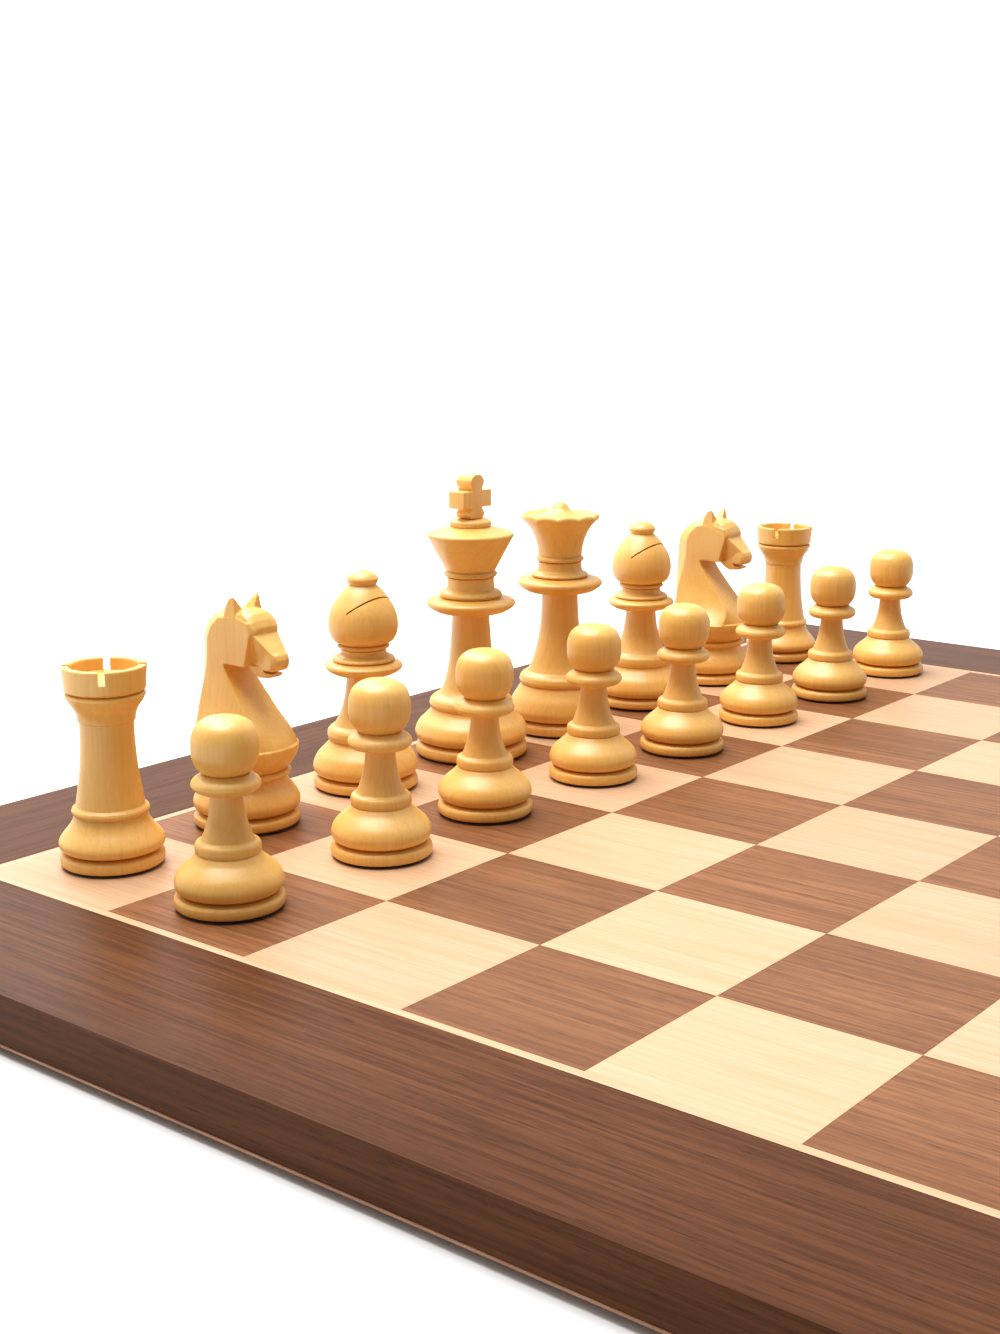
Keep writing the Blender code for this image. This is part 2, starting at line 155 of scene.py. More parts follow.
# The scallops of her coronet: how many, how deep, how far they reach down from the rim and in past
# QUEEN_INSIDE, how round they are, and the segments turned for each
SCALLOPS = 11
SCALLOP_DEPTH = 0.65
SCALLOP_REACH = 2.5
SCALLOP_INSET = 0.6
SCALLOP_ROUNDNESS = 0.8
SCALLOP_SEGMENTS = 12
QUEEN = (
    ((0, 0.8), (17.0, 0.8)),
    ((17.0, 0.8), (17.5, 1.4), (17.6, 2.5), (17.45, 3.5)),
    ((17.45, 3.5), (16.8, 4.2), (15.9, 4.6)),
    ((15.9, 4.6), (14.4, 4.9), (15.9, 5.2)),
    ((15.9, 5.2), (17.0, 5.8), (17.65, 7.2), (17.6, 8.9), (16.5, 12.0), (14.8, 14.6), (13.6, 16.6)),
    ((13.6, 16.6), (13.4, 16.9), (13.9, 17.2)),
    ((13.9, 17.2), (14.1, 18.3), (13.8, 19.6)),
    ((13.8, 19.6), (13.0, 20.5), (11.8, 21.1)),
    ((11.8, 21.1), (11.2, 21.5)),
    ((11.2, 21.5), (9.9, 24.0), (8.8, 27.5), (7.6, 32.5), (6.9, 37.5), (6.5, 42.5), (6.3, 48.9)),
    ((6.3, 48.9), (8.0, 49.1)),
    ((8.0, 49.1), (11.6, 49.9), (14.1, 51.4)),
    ((14.1, 51.4), (14.65, 52.2), (14.65, 53.1), (14.1, 53.8)),
    ((14.1, 53.8), (12.2, 54.4), (9.9, 54.6)),
    ((9.9, 54.6), (9.2, 54.8), (9.8, 55.1)),
    ((9.8, 55.1), (9.95, 55.6), (9.3, 56.2)),
    ((9.3, 56.2), (8.2, 56.7), (7.7, 57.4)),
    ((7.7, 57.4), (7.55, 58.8), (7.55, 60.0)),
    ((7.55, 60.0), (6.9, 60.2), (8.0, 60.5)),
    ((8.0, 60.5), (8.4, 61.1), (8.0, 61.8)),
    ((8.0, 61.8), (7.4, 62.1), (7.6, 62.5)),
    ((7.6, 62.5), (7.85, 65.0), (8.5, 67.6), (9.5, 70.2), (11.1, 72.8), (13.0, 74.8)),
    ((13.0, 74.8), (13.55, 75.4), (13.6, QUEEN_RIM)),
    ((13.6, QUEEN_RIM), (13.3, 76.8)),
    ((13.3, 76.8), (12.4, 77.0), (QUEEN_INSIDE, 76.6)),
    ((QUEEN_INSIDE, 76.6), (9.6, 75.9), (7.2, 76.3), (5.0, 77.3), (3.5, 78.4), (2.9, 79.2), (2.1, 80.1),
     (1.0, 80.65), (0, 80.75)),
)
KING = (
    ((0, 0.8), (18.1, 0.8)),
    ((18.1, 0.8), (18.6, 1.4), (18.7, 2.6), (18.55, 3.7)),
    ((18.55, 3.7), (17.9, 4.4), (17.0, 4.8)),
    ((17.0, 4.8), (15.4, 5.1), (17.0, 5.4)),
    ((17.0, 5.4), (18.2, 6.0), (18.9, 7.4), (18.8, 9.0), (17.7, 11.3), (15.9, 13.1), (14.2, 14.8),
     (13.5, 16.1)),
    ((13.5, 16.1), (13.3, 16.4), (13.8, 16.7)),
    ((13.8, 16.7), (14.0, 17.8), (13.7, 19.1)),
    ((13.7, 19.1), (12.8, 20.0), (11.7, 20.6)),
    ((11.7, 20.6), (11.1, 21.0)),
    ((11.1, 21.0), (9.9, 22.4), (8.9, 25.0), (7.7, 30.0), (7.0, 36.0), (6.5, 42.0), (6.1, 47.8)),
    ((6.1, 47.8), (7.8, 48.0)),
    ((7.8, 48.0), (11.4, 48.8), (14.1, 50.3)),
    ((14.1, 50.3), (14.7, 51.1), (14.7, 51.9), (14.1, 52.6)),
    ((14.1, 52.6), (12.4, 53.1), (10.2, 53.4)),
    ((10.2, 53.4), (9.5, 53.6), (10.2, 53.9)),
    ((10.2, 53.9), (10.4, 54.6), (9.9, 55.4)),
    ((9.9, 55.4), (8.8, 55.9), (7.9, 56.2)),
    ((7.9, 56.2), (7.75, 58.4), (7.8, 60.1)),
    ((7.8, 60.1), (7.2, 60.35), (8.5, 60.6)),
    ((8.5, 60.6), (8.85, 61.3), (8.5, 62.0)),
    ((8.5, 62.0), (7.9, 62.3), (8.3, 62.7)),
    ((8.3, 62.7), (14.1, 73.6)),
    ((14.1, 73.6), (14.35, 74.2), (14.1, 74.8)),
    ((14.1, 74.8), (10.4, 76.0), (7.0, 76.8)),
    ((7.0, 76.8), (6.6, 77.0), (6.8, 77.3)),
    ((6.8, 77.3), (6.95, 78.0), (6.8, 78.7)),
    ((6.8, 78.7), (5.9, 79.3)),
    ((5.9, 79.3), (0, 79.8)),
)
KNIGHT_BASE = (
    ((0, 0.8), (15.0, 0.8)),
    ((15.0, 0.8), (15.5, 1.3), (15.6, 2.3), (15.5, 3.2)),
    ((15.5, 3.2), (14.8, 3.9), (13.9, 4.3)),
    ((13.9, 4.3), (12.4, 4.6), (13.9, 4.9)),
    ((13.9, 4.9), (15.1, 5.5), (15.6, 6.8), (15.5, 8.3), (14.4, 10.5), (12.9, 12.4), (11.9, 14.3)),
    ((11.9, 14.3), (11.8, 14.6), (12.3, 15.0)),
    ((12.3, 15.0), (13.0, 15.4), (13.2, 16.0), (13.0, 16.6)),
    ((13.0, 16.6), (12.1, 17.0)),
    ((12.1, 17.0), (0, 17.0)),
)
KNIGHT_DRUM = (
    ((0, 17.0), (12.0, 17.0)),
    ((12.0, 17.0), (12.7, 17.9), (14.2, 19.6), (15.3, 22.0), (15.6, 24.4)),
    ((15.6, 24.4), (0, 24.4)),
)
FELT_RADIUS = {"pawn": 13.4, "rook": 13.4, "knight": 14.7, "bishop": 15.6, "queen": 16.7, "king": 17.8}
FELT_TOP = 0.85

# The carved horse is a union of convex blocks, mirrored left to right.
# Its neck is lofted through sections of (forward, half-width), from the mane round to the chest.
NECK = (
    (24.0, ((-15.3, 3.5), (-11.8, 10.3), (-4.0, 14.8), (5.0, 14.6), (11.5, 10.4), (15.4, 2.5))),
    (26.5, ((-15.2, 3.0), (-12.0, 9.3), (-4.0, 11.8), (4.6, 11.6), (12.0, 8.9), (14.2, 2.5))),
    (30.0, ((-15.1, 2.5), (-12.0, 8.2), (-4.0, 9.3), (3.6, 9.0), (11.3, 7.3), (11.6, 2.5))),
    (34.0, ((-15.2, 2.0), (-11.8, 7.2), (-4.0, 7.7), (1.0, 7.5), (7.9, 6.5), (8.1, 2.5))),
    (38.0, ((-15.4, 1.8), (-11.4, 6.5), (-5.0, 6.6), (-1.0, 6.5), (4.5, 6.1), (4.6, 2.5))),
    (45.0, ((-15.5, 1.2), (-9.8, 5.7), (-7.0, 5.8), (-4.0, 5.7), (-1.0, 5.5), (-1.0, 2.5))),
    (50.0, ((-15.3, 1.1), (-8.8, 5.7), (-7.0, 5.8), (-5.0, 5.7), (-3.0, 5.5), (-3.0, 2.5))),
)
# The rest of it, each point (forward, height, half-width)
HORSE = (
    # head from the mane to the front edge of the cheek
    ((-15.3, 48.3, 1.1), (-15.2, 52, 1.1), (-14.7, 55.5, 1.2), (-12.7, 59, 1.4), (-10, 61.3, 1.6),
     (-7, 62.9, 1.9), (-3.5, 64.1, 2.6), (5.0, 63.8, 3.0), (-8.9, 48.3, 5.7), (-8.6, 55.5, 5.7),
     (-6.8, 59, 5.7), (-3.8, 61.7, 5.7), (3.0, 62.6, 5.5), (8.4, 61.2, 5.6), (9.2, 58, 5.7),
     (6.2, 48.3, 5.3), (-2.4, 48.3, 5.5)),
    # forelock and brow
    ((3.2, 61.2, 5.8), (3.0, 63.0, 5.2), (3.0, 64.4, 2.6), (5.4, 64.5, 2.6), (5.4, 63.6, 4.8),
     (7.6, 63.5, 2.7), (7.4, 62.6, 5.0), (9.2, 61.8, 2.8), (9.0, 61.0, 5.2), (10.2, 59.8, 2.8),
     (9.9, 59.4, 5.0), (10.1, 58.4, 4.7), (9.0, 58.2, 5.5), (6.4, 59.0, 5.9)),
    # face, its sides leaning in under the bridge of the nose
    ((9.4, 58.5, 5.0), (5.0, 58.5, 4.4), (14.8, 53.3, 3.2), (15.6, 50.0, 2.6), (11.0, 47.6, 2.4),
     (4.5, 48.5, 1.8)),
    # muzzle down to the upper lip
    ((14.3, 53.6, 3.0), (16.1, 52.4, 2.7), (16.7, 51.0, 2.6), (16.5, 49.2, 2.6), (15.6, 47.9, 2.5),
     (13.2, 52.0, 3.5), (15.2, 50.4, 3.5), (14.8, 48.4, 3.3), (11.6, 47.2, 3.1), (11.0, 49.4, 3.2)),
    # lower lip and jaw
    ((9.0, 48.6, 2.8), (14.2, 47.6, 2.3), (14.5, 46.4, 2.1), (13.2, 45.6, 2.1), (9.2, 45.3, 2.4),
     (6.8, 46.8, 2.8), (4.5, 49.0, 3.0)),
)
# One ear, each point (forward, height, sideways)
EAR = (
    (-1.8, 62.0, 5.4), (-0.6, 66.2, 5.2), (0.8, 68.0, 5.0), (2.3, 68.5, 4.9), (3.5, 62.0, 5.5),
    (3.3, 62.9, 0.9), (-1.2, 62.9, 0.4),
)
# The mouth: a thin wedge cut in from the front, (forward, height, half-width)
MOUTH = ((10.9, 48.3, 6.0), (12.6, 47.5, 6.0), (18.0, 47.4, 6.0), (18.0, 46.9, 6.0), (11.9, 46.9, 6.0))
CARVING_VOXEL = 0.25
CARVING_SHARE_KEPT = 0.3

# Half of the king's cross, (sideways, height)
CROSS = (
    (2.7, 79.7), (3.5, 81.0), (3.5, 81.6), (2.5, 82.9), (2.4, 83.3), (7.1, 83.3), (7.1, 88.8), (2.4, 88.8),
    (2.4, 89.4), (3.35, 91.2), (3.4, 92.1), (2.4, 93.5), (0.9, 94.1), (0.0, 94.1),
)
CROSS_THICKNESS = 6.4
CROSS_EASING = 0.35

# The saw cut in a bishop's mitre: height on the axis, rise per unit forward, blind end, width
MITRE_HEIGHT = 54.6
MITRE_SLOPE = 0.87
MITRE_BLIND = 2.0
KERF = 0.5
CUTTER_REACH = 30.0


# ---------------------------------------------------------------- curves and lathe work
def curve_through(points, steps):
    """Catmull-Rom curve through the points, with its ends running straight."""
    points = [Vector(point) for point in points]
    if len(points) == 2:
        return points
    before = [2 * points[0] - points[1], *points, 2 * points[-1] - points[-2]]
    found = []
    for p0, p1, p2, p3 in zip(before, before[1:], before[2:], before[3:]):
        for step in range(steps):
            t = step / steps
            found.append(
                0.5 * (2 * p1 + (p2 - p0) * t + (2 * p0 - 5 * p1 + 4 * p2 - p3) * t * t
                       + (3 * p1 - p0 - 3 * p2 + p3) * t ** 3)
            )
    found.append(points[-1])
    return found


def pulled_in(run, corner_at_start, corner_at_end):
    """Shortens a run by the corner radius at each end that meets another, or a short run to its middle."""
    def cut(points):
        travelled = 0
        for index in range(1, len(points)):
            step = (points[index] - points[index - 1]).length
            if travelled + step > CORNER_RADIUS:
                share = (CORNER_RADIUS - travelled) / step
                return [points[index - 1].lerp(points[index], share), *points[index:]]
            travelled += step
        return points[-1:]
    length = sum((b - a).length for a, b in zip(run, run[1:]))
    if length < 2.4 * CORNER_RADIUS:  # too short to keep anything between two corners
        middle = run[len(run) // 2] if len(run) > 2 else (run[0] + run[1]) / 2
        return [middle]
    if corner_at_start:
        run = cut(run)
    if corner_at_end:
        run = cut(run[::-1])[::-1]
    return run


def outline_points(runs, steps=5):
    """One line of (radius, height) points, with each corner between runs turned to a small radius."""
    curves = [curve_through(run, steps) for run in runs]
    last = len(curves) - 1
    found = []
    for index, run in enumerate(curves):
        piece = pulled_in(run, index > 0, index < last)
        if found:
            corner = run[0]
            start, end = found[-1], piece[0]
            for t in (0.33, 0.67):
                found.append(start * (1 - t) ** 2 + corner * 2 * t * (1 - t) + end * t * t)
        found.extend(piece)
    clean = [found[0]]
    for point in found[1:]:
        if (point - clean[-1]).length > NEAREST_POINTS:
            clean.append(point)
    clean[-1].x = 0
    return clean


def turned(runs, segments=SEGMENTS, shape=None):
    """Vertices and faces of a solid of revolution. shape(radius, height, angle) may change a height."""
    outline = outline_points(runs)
    rings = outline[1:-1]
    angles = [math.tau * step / segments for step in range(segments)]
    verts = [(0, 0, outline[0].y)]
    for radius, height in rings:
        for angle in angles:
            level = shape(radius, height, angle) if shape else height
            verts.append((radius * math.cos(angle), radius * math.sin(angle), level))
    verts.append((0, 0, outline[-1].y))
    faces = []
    top = len(verts) - 1
    for step in range(segments):
        after = (step + 1) % segments
        faces.append((0, 1 + after, 1 + step))
        for ring in range(len(rings) - 1):
            low = 1 + ring * segments
            high = low + segments
            faces.append((low + step, low + after, high + after, high + step))
        last = 1 + (len(rings) - 1) * segments
        faces.append((last + step, last + after, top))
    return verts, faces


def mesh_of(bm, name):
    mesh = bpy.data.meshes.new(name)
    bm.to_mesh(mesh)
    bm.free()
    return mesh


def mesh_from(name, verts, faces):
    mesh = bpy.data.meshes.new(name)
    mesh.from_pydata([tuple(v) for v in verts], [], faces)
    mesh.update()
    bm = bmesh.new()
    bm.from_mesh(mesh)
    bmesh.ops.recalc_face_normals(bm, faces=bm.faces[:])
    bm.to_mesh(mesh)
    bm.free()
    return mesh


def scratch_object(name, mesh):
    obj = bpy.data.objects.new(name, mesh)
    bpy.context.scene.collection.objects.link(obj)
    return obj


def applied(obj):
    """The object's mesh with its modifiers applied; the object itself is removed."""
    graph = bpy.context.evaluated_depsgraph_get()
    mesh = bpy.data.meshes.new_from_object(obj.evaluated_get(graph))
    bpy.data.objects.remove(obj, do_unlink=True)
    return mesh


def carved(mesh, cutters):
    """Cuts each cutter mesh out of a mesh."""
    obj = scratch_object("work", mesh)
    tools = [scratch_object("cutter", cutter) for cutter in cutters]
    for tool in tools:
        modifier = obj.modifiers.new("cut", "BOOLEAN")
        modifier.operation = "DIFFERENCE"
        modifier.solver = "EXACT"
        modifier.object = tool
    result = applied(obj)
    for tool in tools:
        bpy.data.objects.remove(tool, do_unlink=True)
    return result


def box_mesh(size, centre, turn=None):
    bm = bmesh.new()
    bmesh.ops.create_cube(bm, size=1)
    bmesh.ops.scale(bm, vec=size, verts=bm.verts[:])
    if turn:
        bmesh.ops.rotate(bm, cent=(0, 0, 0), matrix=turn, verts=bm.verts[:])
    bmesh.ops.translate(bm, vec=centre, verts=bm.verts[:])
    return mesh_of(bm, "box")


# ---------------------------------------------------------------- the men
def rook_mesh():
    cutters = [
        box_mesh((CUTTER_REACH, NOTCH_WIDTH, 2 * NOTCH_DEPTH), (0, 0, ROOK_TOP)),
        box_mesh((NOTCH_WIDTH, CUTTER_REACH, 2 * NOTCH_DEPTH), (0, 0, ROOK_TOP)),
    ]
    return carved(mesh_from("rook", *turned(ROOK)), cutters)


def bishop_mesh():
    tilt = Matrix.Rotation(math.atan(MITRE_SLOPE), 3, "X")
    forward = tilt @ Vector((0, CUTTER_REACH / 2, 0))
    centre = Vector((0, MITRE_BLIND, MITRE_HEIGHT + MITRE_SLOPE * MITRE_BLIND)) + forward
    saw_cut = box_mesh((CUTTER_REACH, CUTTER_REACH, KERF), centre, tilt)
    return carved(mesh_from("bishop", *turned(BISHOP)), [saw_cut])


def coronet(radius, height, angle):
    """Lowers the queen's rim between the points of her coronet."""
    above = height - (QUEEN_RIM - SCALLOP_REACH)
    if above < 0 or radius < QUEEN_INSIDE - SCALLOP_INSET:
        return height
    near_rim = min(1, above / SCALLOP_REACH)
    bulge = abs(math.sin(SCALLOPS * angle / 2)) ** SCALLOP_ROUNDNESS
    return height - SCALLOP_DEPTH * near_rim * (1 - bulge)


def queen_mesh():
    return mesh_from("queen", *turned(QUEEN, SCALLOPS * SCALLOP_SEGMENTS, coronet))


def add_block(bm, points):
    """Adds the convex block through a list of (forward, height, half-width), mirrored left to right."""
    verts = []
    for forward, height, width in points:
        verts.append(bm.verts.new((width, forward, height)))
        verts.append(bm.verts.new((-width, forward, height)))
    bmesh.ops.convex_hull(bm, input=verts)


def horse_mesh():
    """The knight's head, neck and drum: blocks fused by a fine remesh and sanded, then the mouth cut."""
    bm = bmesh.new()
    columns = zip(*[[(forward, height, width) for forward, width in section] for height, section in NECK])
    sections = list(zip(*[curve_through(column, 4) for column in columns]))
    for low, high in zip(sections, sections[1:]):
        add_block(bm, [*low, *high])
    for block in HORSE:
        add_block(bm, block)
    for side in (1, -1):
        ear = [bm.verts.new((side * width, forward, height)) for forward, height, width in EAR]
        bmesh.ops.convex_hull(bm, input=ear)
    bm.from_mesh(mesh_from("drum", *turned(KNIGHT_DRUM)))
    work = scratch_object("horse", mesh_of(bm, "horse"))
    remesh = work.modifiers.new("union", "REMESH")
    remesh.mode = "VOXEL"
    remesh.voxel_size = CARVING_VOXEL
    remesh.use_smooth_shade = True
    soften = work.modifiers.new("sanded", "SMOOTH")
    soften.factor = 0.5
    soften.iterations = 1
    thin = work.modifiers.new("thin", "DECIMATE")
    thin.ratio = CARVING_SHARE_KEPT
    bm = bmesh.new()
    add_block(bm, MOUTH)
    return carved(applied(work), [mesh_of(bm, "mouth")])


def cross_mesh():
    corners = [*CROSS, *[(-x, z) for x, z in reversed(CROSS[:-1])]]
    half = CROSS_THICKNESS / 2
    bm = bmesh.new()
    face = bm.faces.new([bm.verts.new((x, -half, z)) for x, z in corners])
    raised = bmesh.ops.extrude_face_region(bm, geom=[face])["geom"]
    moved = [v for v in raised if isinstance(v, bmesh.types.BMVert)]
    bmesh.ops.translate(bm, vec=(0, 2 * half, 0), verts=moved)
    bmesh.ops.recalc_face_normals(bm, faces=bm.faces[:])
    work = scratch_object("cross", mesh_of(bm, "cross"))
    bevel = work.modifiers.new("eased", "BEVEL")
    bevel.width = CROSS_EASING
    bevel.segments = 3
    bevel.limit_method = "ANGLE"
    bevel.angle_limit = math.radians(20)
    return applied(work)


def felt_mesh(radius):
    """A thin felt disc with a rounded edge, a hair above the board."""
    runs = (
        ((0, 0.03), (radius - 0.15, 0.03)),
        ((radius - 0.15, 0.03), (radius, 0.3), (radius, 0.8), (radius - 0.1, FELT_TOP)),
        ((radius - 0.1, FELT_TOP), (0, FELT_TOP)),
    )
    return mesh_from("felt", *turned(runs))


# ---------------------------------------------------------------- materials
def socket_or_value(tree, socket, value):
    if hasattr(value, "is_linked"):
        tree.links.new(value, socket)
    else:
        socket.default_value = value


class Nodes:
    """Short calls for building a material's node tree."""

    def __init__(self, name):
        self.material = bpy.data.materials.new(name)
        self.material.use_nodes = True
        self.tree = self.material.node_tree
        self.shader = self.tree.nodes["Principled BSDF"]

    def node(self, kind, **settings):
        made = self.tree.nodes.new(kind)
        for key, value in settings.items():
            setattr(made, key, value)
        return made

    def grain(self):
        return self.node("ShaderNodeAttribute", attribute_name="grain").outputs["Vector"]

    def object_space(self):
        return self.node("ShaderNodeTexCoord").outputs["Object"]

    def tone(self):
        return self.node("ShaderNodeAttribute", attribute_name="tone").outputs["Fac"]

    def stretched(self, vector, scale):
        made = self.node("ShaderNodeMapping")
        made.inputs["Scale"].default_value = scale
        self.tree.links.new(vector, made.inputs["Vector"])
        return made.outputs["Vector"]

    def noise(self, vector, scale, detail=2.0, roughness=0.5, distortion=0.0):
        made = self.node("ShaderNodeTexNoise")
        self.tree.links.new(vector, made.inputs["Vector"])
        made.inputs["Scale"].default_value = scale
        made.inputs["Detail"].default_value = detail
        made.inputs["Roughness"].default_value = roughness
        made.inputs["Distortion"].default_value = distortion
        return made.outputs["Fac"]

    def rings(self, vector, scale, distortion, detail_scale):
        """Growth rings round the log's heart, which a piece's own offset puts at its side."""
        made = self.node(
            "ShaderNodeTexWave", wave_type="RINGS", rings_direction="Z", wave_profile="SAW",
        )
        self.tree.links.new(vector, made.inputs["Vector"])
        made.inputs["Scale"].default_value = scale
        made.inputs["Distortion"].default_value = distortion
        made.inputs["Detail"].default_value = 2.0
        made.inputs["Detail Scale"].default_value = detail_scale
        return made.outputs["Fac"]

    def ramp(self, value, *stops):
        made = self.node("ShaderNodeValToRGB")
        socket_or_value(self.tree, made.inputs["Fac"], value)
        elements = made.color_ramp.elements
        while len(elements) < len(stops):
            elements.new(0.5)
        for element, (position, colour) in zip(elements, stops):
            element.position = position
            element.color = (*(colour if isinstance(colour, tuple) else [colour] * 3), 1)
        return made.outputs["Color"]

    def math(self, operation, first, second=0.0):
        made = self.node("ShaderNodeMath", operation=operation)
        socket_or_value(self.tree, made.inputs[0], first)
        socket_or_value(self.tree, made.inputs[1], second)
        return made.outputs["Value"]

    def between(self, value, low, high):
        made = self.node("ShaderNodeMapRange")
        socket_or_value(self.tree, made.inputs["Value"], value)
        made.inputs["To Min"].default_value = low
        made.inputs["To Max"].default_value = high
        return made.outputs["Result"]

    def blend(self, factor, first, second, kind="MIX"):
        """Mixes two colours. A mix node's colours are its inputs 6 and 7 and its output 2."""
        made = self.node("ShaderNodeMix", data_type="RGBA", blend_type=kind)
        socket_or_value(self.tree, made.inputs["Factor"], factor)
        for socket, colour in ((made.inputs[6], first), (made.inputs[7], second)):
            socket_or_value(self.tree, socket, (*colour, 1) if isinstance(colour, tuple) else colour)
        return made.outputs[2]

    def bump(self, height, distance, strength=1.0, normal=None):
        made = self.node("ShaderNodeBump")
        made.inputs["Distance"].default_value = distance
        made.inputs["Strength"].default_value = strength
        self.tree.links.new(height, made.inputs["Height"])
        if normal:
            self.tree.links.new(normal, made.inputs["Normal"])
        return made.outputs["Normal"]

    def finish(self, colour, roughness, normal, specular):
        socket_or_value(self.tree, self.shader.inputs["Base Color"], colour)
        socket_or_value(self.tree, self.shader.inputs["Roughness"], roughness)
        self.tree.links.new(normal, self.shader.inputs["Normal"])
        self.shader.inputs["Specular IOR Level"].default_value = specular
        return self.material


def solid_wood(name, pale, deep, streak, roughness, specular, vector=None):
    """Fine-grained wood cut from the solid, its fibres along the grain vector's Z.

    vector(nodes) gives other coordinates than the piece's own grain, which only some meshes carry.
    """
    n = Nodes(name)
    grain = vector(n) if vector else n.grain()
    drift = n.noise(n.stretched(grain, (1, 1, 0.18)), 55, 2.0, 0.5)
    rings = n.rings(n.stretched(grain, (1, 1, 0.02)), 95, 7.0, 1.2)
    fibres = n.noise(n.stretched(grain, (1, 1, 0.035)), 1500, 3.0, 0.6)
    flecks = n.noise(n.stretched(grain, (1, 1, 0.06)), 3600, 2.0, 0.6)
    colour = n.blend(n.ramp(drift, (0.36, 0.0), (0.68, 1.0)), pale, deep)
    ringed = n.ramp(rings, (0.0, 0.0), (0.7, 0.25), (0.95, 1.0))
    fibrous = n.ramp(fibres, (0.38, 0.0), (0.72, 1.0))
    flecked = n.ramp(flecks, (0.62, 0.0), (0.74, 1.0))
    for mark, share in ((ringed, 0.13), (fibrous, 0.20), (flecked, 0.16)):
        colour = n.blend(n.between(mark, 0.0, share), colour, streak)
    if not vector:
        colour = n.blend(1.0, colour, n.ramp(n.tone(), (0.0, 0.90), (1.0, 1.0)), "MULTIPLY")
    rough = n.between(fibres, roughness - 0.06, roughness + 0.10)
    normal = n.bump(fibres, 0.00004, 0.5)
    return n.finish(colour, rough, normal, specular)


def veneer(name, pale, deep, streak, pore, roughness, pore_share, drift_scale, specular=0.25):
    """Sliced veneer, its fibres along the grain vector's Z."""
    n = Nodes(name)
    grain = n.grain()
    drift = n.noise(n.stretched(grain, (1, 1, 0.12)), drift_scale, 3.0, 0.55, 0.6)
    bands = n.rings(n.stretched(grain, (1, 1, 0.03)), 38, 9.0, 1.0)
    fibres = n.noise(n.stretched(grain, (1, 1, 0.03)), 900, 4.0, 0.65)
    pores = n.noise(n.stretched(grain, (1, 1, 0.045)), 2600, 2.0, 0.5)
    colour = n.blend(n.ramp(drift, (0.32, 0.0), (0.68, 1.0)), pale, deep)
    banded = n.ramp(bands, (0.0, 0.0), (0.75, 0.2), (0.98, 1.0))
    fibrous = n.ramp(fibres, (0.40, 0.0), (0.66, 1.0))
    for mark, share in ((banded, 0.42), (fibrous, 0.75)):
        colour = n.blend(n.between(mark, 0.0, share), colour, streak)
    pored = n.ramp(pores, (0.60, 0.0), (0.70, 1.0))
    colour = n.blend(n.between(pored, 0.0, pore_share), colour, pore)
    colour = n.blend(1.0, colour, n.ramp(n.tone(), (0.0, 0.86), (1.0, 1.0)), "MULTIPLY")
    rough = n.between(fibres, roughness - 0.05, roughness + 0.08)
    normal = n.bump(pored, -0.00003, 0.5, n.bump(fibres, 0.00003, 0.4))
    return n.finish(colour, rough, normal, specular)


def felt(name):
    n = Nodes(name)
    space = n.object_space()
    fluff = n.noise(space, 2400, 4.0, 0.7)
    patches = n.noise(space, 160, 2.0)
    colour = n.blend(n.ramp(fluff, (0.3, 0.0), (0.75, 1.0)), (0.020, 0.015, 0.008), (0.080, 0.060, 0.034))
    colour = n.blend(n.between(patches, 0.0, 0.4), colour, (0.040, 0.032, 0.018))
    made = n.finish(colour, n.between(fluff, 0.85, 1.0), n.bump(fluff, 0.0003, 0.8), 0.2)
    n.shader.inputs["Sheen Weight"].default_value = 0.4
    n.shader.inputs["Sheen Roughness"].default_value = 0.5
    return made


def raw_board(name):
    n = Nodes(name)
    space = n.object_space()
    chips = n.noise(space, 700, 4.0, 0.7)
    colour = n.blend(chips, (0.36, 0.25, 0.16), (0.50, 0.38, 0.25))
    return n.finish(colour, n.between(chips, 0.75, 0.95), n.bump(chips, 0.0002, 0.6), 0.3)


# Each wood's colours: pale, deep, streaks and, in a veneer, pores
BOXWOOD = solid_wood(
    "boxwood", (0.89, 0.545, 0.162), (0.84, 0.476, 0.114), (0.62, 0.285, 0.046),
    roughness=0.38, specular=0.85,
)
EBONISED = solid_wood(
    "ebonised", (0.020, 0.014, 0.011), (0.010, 0.0075, 0.006), (0.050, 0.030, 0.020),
    roughness=0.34, specular=0.5,
)
MAPLE = veneer(
    "maple", (0.68, 0.458, 0.300), (0.645, 0.416, 0.260), (0.58, 0.345, 0.193), (0.53, 0.300, 0.160),
    roughness=0.45, pore_share=0.08, drift_scale=26,
)
WALNUT = veneer(
    "walnut", (0.35, 0.158, 0.070), (0.25, 0.104, 0.043), (0.15, 0.060, 0.024), (0.060, 0.024, 0.011),
    roughness=0.45, pore_share=0.60, drift_scale=34,
)
BORDER_WALNUT = veneer(
    "border_walnut", (0.168, 0.069, 0.030), (0.116, 0.044, 0.019), (0.072, 0.026, 0.011),
    (0.033, 0.012, 0.007), roughness=0.33, pore_share=0.60, drift_scale=30, specular=0.08,
)
FELT = felt("felt")
CORE = raw_board("core")


# ---------------------------------------------------------------- making pieces
def give_grain(mesh, along, offset, tone):
    """Stores the wood's own coordinates in metres, with the fibres' direction as Z, and a tone."""
    count = len(mesh.vertices)
    flat = np.empty(count * 3, dtype=np.float32)
    mesh.vertices.foreach_get("co", flat)
    points = flat.reshape(-1, 3)
    order = {"X": (1, 2, 0), "Y": (2, 0, 1), "Z": (0, 1, 2)}[along]
    wood = points[:, order] + np.array(offset, dtype=np.float32)
    mesh.attributes.new("grain", "FLOAT_VECTOR", "POINT").data.foreach_set("vector", wood.ravel())
    tones = np.full(count, tone, dtype=np.float32)
    mesh.attributes.new("tone", "FLOAT", "POINT").data.foreach_set("value", tones)


